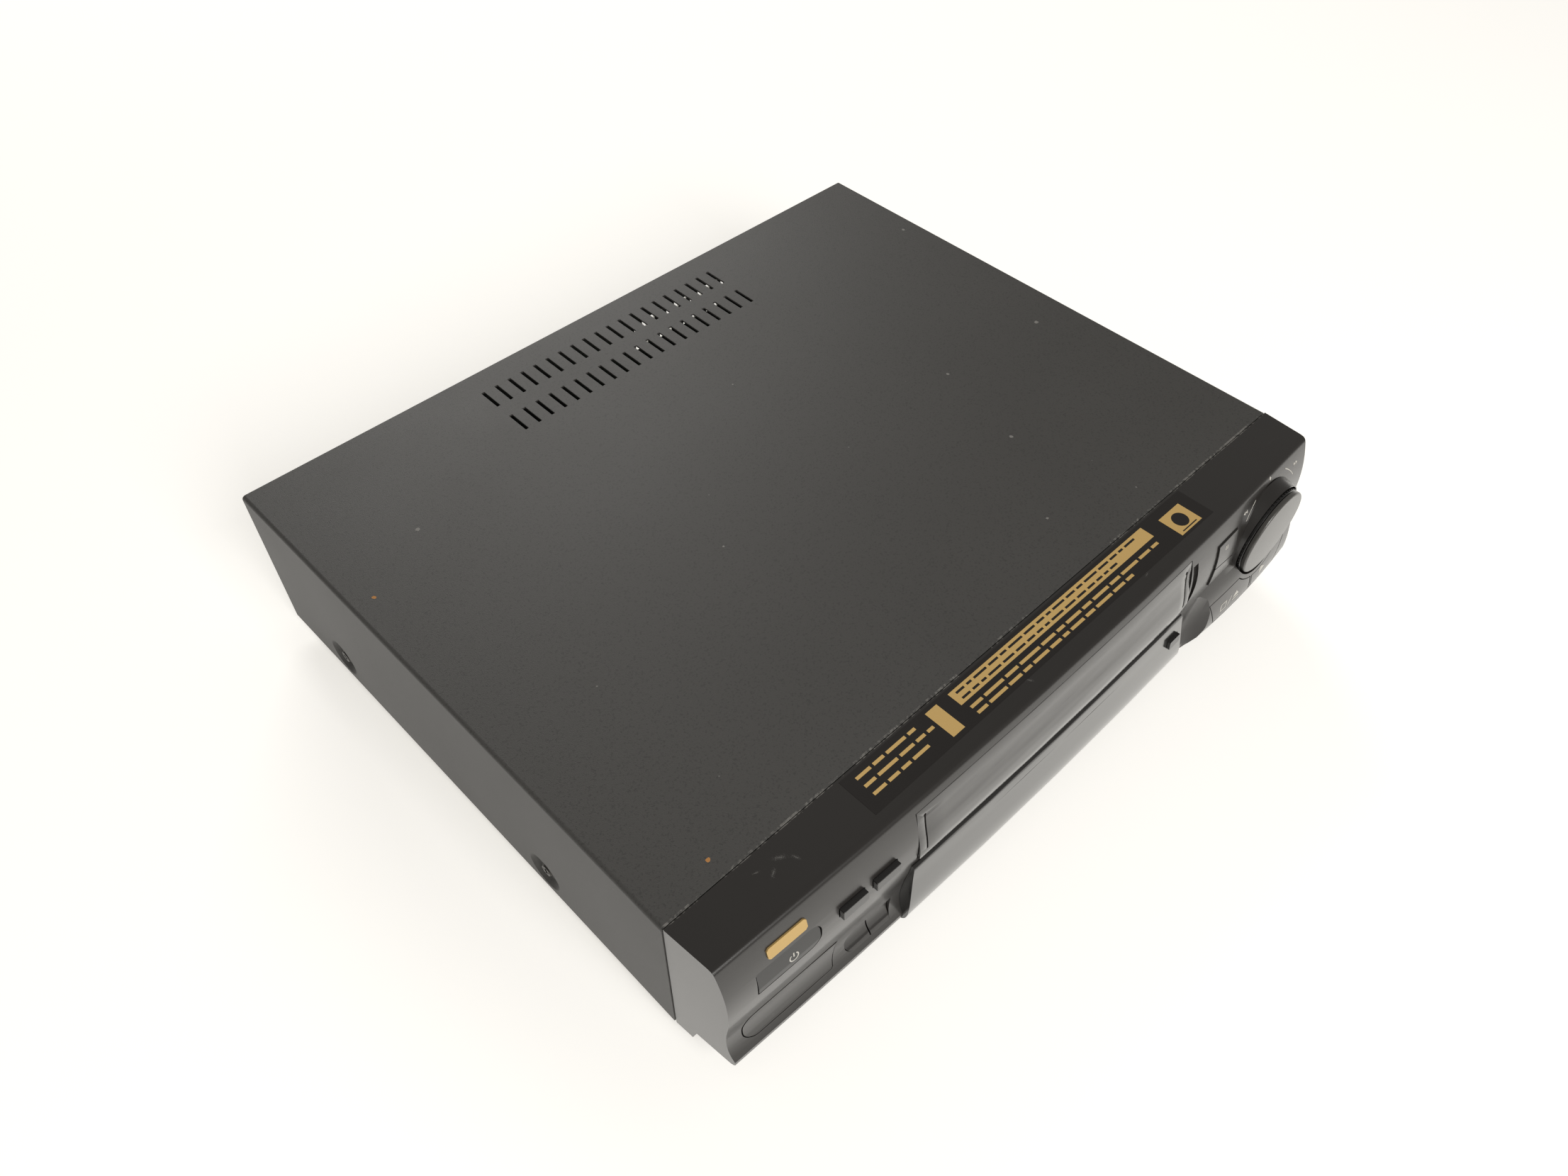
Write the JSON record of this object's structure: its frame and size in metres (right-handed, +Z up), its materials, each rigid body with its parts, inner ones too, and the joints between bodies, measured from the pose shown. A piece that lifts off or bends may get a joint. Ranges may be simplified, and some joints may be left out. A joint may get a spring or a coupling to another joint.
{
  "type": "video cassette recorder",
  "caption": "Front-loading video cassette recorder with sheet cover, bowed front, hinged cassette flap, display lens, transport keys, shuttle dial and working tape mechanism.",
  "frame": {"origin": "centre of the footprint on the floor under the feet", "axes": "+X to the right across the front, +Y from the front to the back, +Z up"},
  "size_m": [0.4, 0.338, 0.094],
  "materials": {
    "cover_paint": "satin textured black paint",
    "panel_plastic": "satin moulded brown-black",
    "button_plastic": "satin black",
    "dial_plastic": "semi-gloss dark grey",
    "lens_plastic": "smoked",
    "zinc_sheet": "passivated zinc sheet",
    "bright_steel": "bright steel",
    "foot_rubber": "matt",
    "circuit_board": "varnished laminate",
    "component_black": "moulded packages",
    "alloy": "machined",
    "winding": "ferrite and tape",
    "socket_plastic": "black",
    "nylon": "natural nylon",
    "motor_can": "plated can",
    "belt_rubber": "matt",
    "display_glass": "fluorescent tube"
  },
  "bodies": {
    "case": {"top_cover": "cover_paint", "base_plate": "zinc_sheet", "rear_panel": "zinc_sheet", "feet": "foot_rubber", "case_screws": "bright_steel", "front_panel": "panel_plastic", "display_lens": "lens_plastic", "display_module": "display_glass", "front_board": "circuit_board", "flap_spring": "bright_steel", "main_board": "circuit_board", "board_parts": "component_black", "heat_sink": "alloy", "power_transformer": "winding", "tuner_box": "zinc_sheet", "scart_sockets": "socket_plastic", "mains_inlet": "socket_plastic", "deck_chassis": "zinc_sheet", "loader_side_left": "zinc_sheet", "loader_side_right": "zinc_sheet", "loader_bridge": "zinc_sheet", "loader_motor": "motor_can", "drum_base": "alloy", "capstan_stator": "motor_can", "reel_belt": "belt_rubber", "tape_heads": "motor_can"},
    "flap": {"cassette_flap": "panel_plastic"},
    "carriage": {"slider_left": "nylon", "slider_right": "nylon"},
    "carrier": {"cassette_carrier": "bright_steel"},
    "cross_shaft": {"loader_shaft": "nylon"},
    "pinion": {"motor_pinion": "nylon"},
    "drum": {"drum_upper": "alloy"},
    "capstan": {"capstan_rotor": "bright_steel"},
    "clutch": {"clutch_pulley": "nylon"},
    "pinch_lever": {"pinch_arm": "bright_steel"},
    "roller": {"pinch_roller": "belt_rubber"},
    "supply_table": {"supply_reel": "nylon"},
    "takeup_table": {"takeup_reel": "nylon"},
    "idler_lever": {"idler_arm": "bright_steel"},
    "idler": {"idler_wheel": "belt_rubber"},
    "supply_base": {"supply_guide": "bright_steel"},
    "takeup_base": {"takeup_guide": "bright_steel"},
    "tension_lever": {"tension_arm": "bright_steel"},
    "mode_wheel": {"mode_gear": "nylon"},
    "dial": {"dial_cap": "dial_plastic", "shuttle_ring": "button_plastic"},
    "power_key": {"power_button": "button_plastic"},
    "bar_key_left": {"bar_button_left": "button_plastic"},
    "bar_key_right": {"bar_button_right": "button_plastic"},
    "twin_key_left": {"twin_button_left": "panel_plastic"},
    "twin_key_right": {"twin_button_right": "panel_plastic"},
    "set_key": {"set_button": "panel_plastic"},
    "display_key": {"display_button": "button_plastic"},
    "pause_key": {"pause_button": "panel_plastic"},
    "record_key": {"record_button": "panel_plastic"},
    "stop_key": {"stop_button": "panel_plastic"},
    "play_key": {"play_button": "panel_plastic"}
  },
  "joints": [
    {"name": "flap_hinge", "type": "hinge", "parent": "case", "child": "flap", "pos_m": [-0.0038, -0.1564, 0.0876], "axis": [1, 0, 0], "range_deg": [0, 92], "stiffness_Nm_per_rad": 0.004, "springref_deg": -14.32},
    {"name": "carriage_slide", "type": "slide", "parent": "case", "child": "carriage", "axis": [0, 1, 0], "range_m": [0, 0.048]},
    {"name": "carrier_drop", "type": "slide", "parent": "carriage", "child": "carrier", "axis": [0, 0, -1], "range_m": [0, 0.0194]},
    {"name": "cross_shaft_turn", "type": "hinge", "parent": "case", "child": "cross_shaft", "pos_m": [-0.0038, 0.022, 0.08], "axis": [1, 0, 0], "range_deg": [0, 344]},
    {"name": "pinion_turn", "type": "hinge", "parent": "case", "child": "pinion", "pos_m": [0.1002, 0.036, 0.08], "axis": [1, 0, 0], "range_deg": [-860, 0]},
    {"name": "drum_spin", "type": "hinge", "parent": "case", "child": "drum", "pos_m": [-0.0038, 0.059, 0.0324], "axis": [0.1045, 0, 0.9945], "continuous": true},
    {"name": "capstan_spin", "type": "hinge", "parent": "case", "child": "capstan", "pos_m": [0.0582, 0.03, 0.03], "axis": [0, 0, 1], "continuous": true},
    {"name": "clutch_spin", "type": "hinge", "parent": "case", "child": "clutch", "pos_m": [-0.0038, -0.058, 0.022], "axis": [0, 0, 1], "continuous": true},
    {"name": "pinch_swing", "type": "hinge", "parent": "case", "child": "pinch_lever", "pos_m": [0.0742, 0.046, 0.036], "axis": [0, 0, 1], "range_deg": [-25, 0]},
    {"name": "roller_spin", "type": "hinge", "parent": "pinch_lever", "child": "roller", "pos_m": [0.07465, 0.02601, 0.046], "axis": [0, 0, 1], "continuous": true},
    {"name": "supply_spin", "type": "hinge", "parent": "case", "child": "supply_table", "pos_m": [-0.0498, -0.044, 0.036], "axis": [0, 0, 1], "continuous": true},
    {"name": "takeup_spin", "type": "hinge", "parent": "case", "child": "takeup_table", "pos_m": [0.0422, -0.044, 0.036], "axis": [0, 0, 1], "continuous": true},
    {"name": "idler_swing", "type": "hinge", "parent": "case", "child": "idler_lever", "pos_m": [-0.0038, -0.058, 0.035], "axis": [0, 0, 1], "range_deg": [-43, 43]},
    {"name": "idler_spin", "type": "hinge", "parent": "idler_lever", "child": "idler", "pos_m": [-0.0038, -0.038, 0.035], "axis": [0, 0, 1], "continuous": true},
    {"name": "takeup_guide_run", "type": "slide", "parent": "case", "child": "takeup_base", "axis": [0.2631, 0.9648, 0], "range_m": [0, 0.0456]},
    {"name": "supply_guide_run", "type": "slide", "parent": "case", "child": "supply_base", "axis": [-0.2631, 0.9648, 0], "range_m": [0, 0.0456]},
    {"name": "tension_swing", "type": "hinge", "parent": "case", "child": "tension_lever", "pos_m": [-0.0798, 0.044, 0.036], "axis": [0, 0, 1], "range_deg": [-8, 8], "stiffness_Nm_per_rad": 0.02},
    {"name": "mode_turn", "type": "hinge", "parent": "case", "child": "mode_wheel", "pos_m": [-0.0778, 0.075, 0.034], "axis": [0, 0, 1], "continuous": true},
    {"name": "dial_turn", "type": "hinge", "parent": "case", "child": "dial", "pos_m": [0.1615, -0.158, 0.063], "axis": [0, 1, 0], "range_deg": [-60, 60], "stiffness_Nm_per_rad": 0.02},
    {"name": "power_press", "type": "slide", "parent": "case", "child": "power_key", "axis": [0, 1, 0], "range_m": [0, 0.0012], "stiffness_N_per_m": 300, "springref_m": -0.001},
    {"name": "bar_press_left", "type": "slide", "parent": "case", "child": "bar_key_left", "axis": [0, 1, 0], "range_m": [0, 0.0012], "stiffness_N_per_m": 300, "springref_m": -0.001},
    {"name": "bar_press_right", "type": "slide", "parent": "case", "child": "bar_key_right", "axis": [0, 1, 0], "range_m": [0, 0.0012], "stiffness_N_per_m": 300, "springref_m": -0.001},
    {"name": "twin_press_left", "type": "slide", "parent": "case", "child": "twin_key_left", "axis": [0, 1, 0], "range_m": [0, 0.0012], "stiffness_N_per_m": 300, "springref_m": -0.001},
    {"name": "twin_press_right", "type": "slide", "parent": "case", "child": "twin_key_right", "axis": [0, 1, 0], "range_m": [0, 0.0012], "stiffness_N_per_m": 300, "springref_m": -0.001},
    {"name": "set_press", "type": "slide", "parent": "case", "child": "set_key", "axis": [0, 1, 0], "range_m": [0, 0.0012], "stiffness_N_per_m": 300, "springref_m": -0.001},
    {"name": "display_press", "type": "slide", "parent": "case", "child": "display_key", "axis": [0, 1, 0], "range_m": [0, 0.0012], "stiffness_N_per_m": 300, "springref_m": -0.001},
    {"name": "pause_press", "type": "slide", "parent": "case", "child": "pause_key", "axis": [0, 1, 0], "range_m": [0, 0.0012], "stiffness_N_per_m": 300, "springref_m": -0.001},
    {"name": "record_press", "type": "slide", "parent": "case", "child": "record_key", "axis": [0, 1, 0], "range_m": [0, 0.0012], "stiffness_N_per_m": 300, "springref_m": -0.001},
    {"name": "stop_press", "type": "slide", "parent": "case", "child": "stop_key", "axis": [0, 1, 0], "range_m": [0, 0.0012], "stiffness_N_per_m": 300, "springref_m": -0.001},
    {"name": "play_press", "type": "slide", "parent": "case", "child": "play_key", "axis": [0, 1, 0], "range_m": [0, 0.0012], "stiffness_N_per_m": 300, "springref_m": -0.001}
  ],
  "couplings": [
    {"joint": "cross_shaft_turn", "follows": "carriage_slide", "rad_per_m": 125},
    {"joint": "pinion_turn", "follows": "carriage_slide", "rad_per_m": -312.5},
    {"joint": "clutch_spin", "follows": "capstan_spin", "ratio": 1},
    {"joint": "supply_guide_run", "follows": "takeup_guide_run", "ratio": 1}
  ]
}
